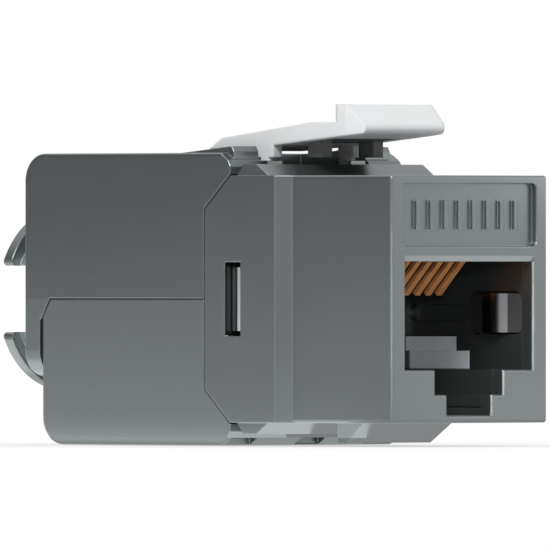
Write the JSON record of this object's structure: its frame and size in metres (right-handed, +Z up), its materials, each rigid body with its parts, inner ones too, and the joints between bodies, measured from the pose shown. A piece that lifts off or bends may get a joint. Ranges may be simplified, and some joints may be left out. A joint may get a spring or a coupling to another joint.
{
  "type": "shielded keystone jack",
  "caption": "Shielded tool-free keystone jack: die-cast body with a plug port, a panel latch on top, and two hinged rear doors whose split collar clamps a network cable.",
  "frame": {"origin": "middle of the port's mouth, in the plane of the front face and on the axis of the cable collar", "axes": "+Y back along the jack towards the cable, +Z up towards the panel latch, X across"},
  "size_m": [0.016, 0.038, 0.0224],
  "materials": {
    "diecast": "satin nickel-plated zinc die casting",
    "latch_plastic": "light grey moulded plastic",
    "insert_plastic": "black moulded plastic",
    "core_plastic": "dark grey moulded plastic",
    "contact_metal": "plated copper alloy",
    "spring_steel": "bright spring steel",
    "board": "green circuit board"
  },
  "bodies": {
    "jack_body": {"main_housing": "diecast", "port_insert": "insert_plastic", "jack_contact_1": "contact_metal", "jack_contact_2": "contact_metal", "jack_contact_3": "contact_metal", "jack_contact_4": "contact_metal", "jack_contact_5": "contact_metal", "jack_contact_6": "contact_metal", "jack_contact_7": "contact_metal", "jack_contact_8": "contact_metal", "shield_spring_left": "spring_steel", "shield_spring_right": "spring_steel", "ground_plate_left": "spring_steel", "ground_plate_right": "spring_steel", "circuit_board": "board", "idc_block_upper": "core_plastic", "idc_block_lower": "core_plastic", "idc_blade_1": "contact_metal", "idc_blade_2": "contact_metal", "idc_blade_3": "contact_metal", "idc_blade_4": "contact_metal", "idc_blade_5": "contact_metal", "idc_blade_6": "contact_metal", "idc_blade_7": "contact_metal", "idc_blade_8": "contact_metal", "wire_guide": "core_plastic", "side_clip_left": "spring_steel", "side_clip_right": "spring_steel", "upper_hinge_pin": "spring_steel", "lower_hinge_pin": "spring_steel"},
    "upper_door": {"upper_door": "diecast", "upper_wire_presser": "core_plastic"},
    "lower_door": {"lower_door": "diecast", "lower_wire_presser": "core_plastic"},
    "panel_latch": {"panel_latch": "latch_plastic"}
  },
  "joints": [
    {"name": "upper_door_hinge", "type": "hinge", "parent": "jack_body", "child": "upper_door", "pos_m": [0, 0.0123, 0.0076], "axis": [1, 0, 0], "range_deg": [0, 90]},
    {"name": "lower_door_hinge", "type": "hinge", "parent": "jack_body", "child": "lower_door", "pos_m": [0, 0.0123, -0.0076], "axis": [-1, 0, 0], "range_deg": [0, 90]},
    {"name": "latch_flex", "type": "hinge", "parent": "jack_body", "child": "panel_latch", "pos_m": [0, 0.01493, 0.00875], "axis": [1, 0, 0], "range_deg": [0, 7], "stiffness_Nm_per_rad": 0.6}
  ],
  "couplings": [
    {"joint": "lower_door_hinge", "follows": "upper_door_hinge", "ratio": 1}
  ]
}
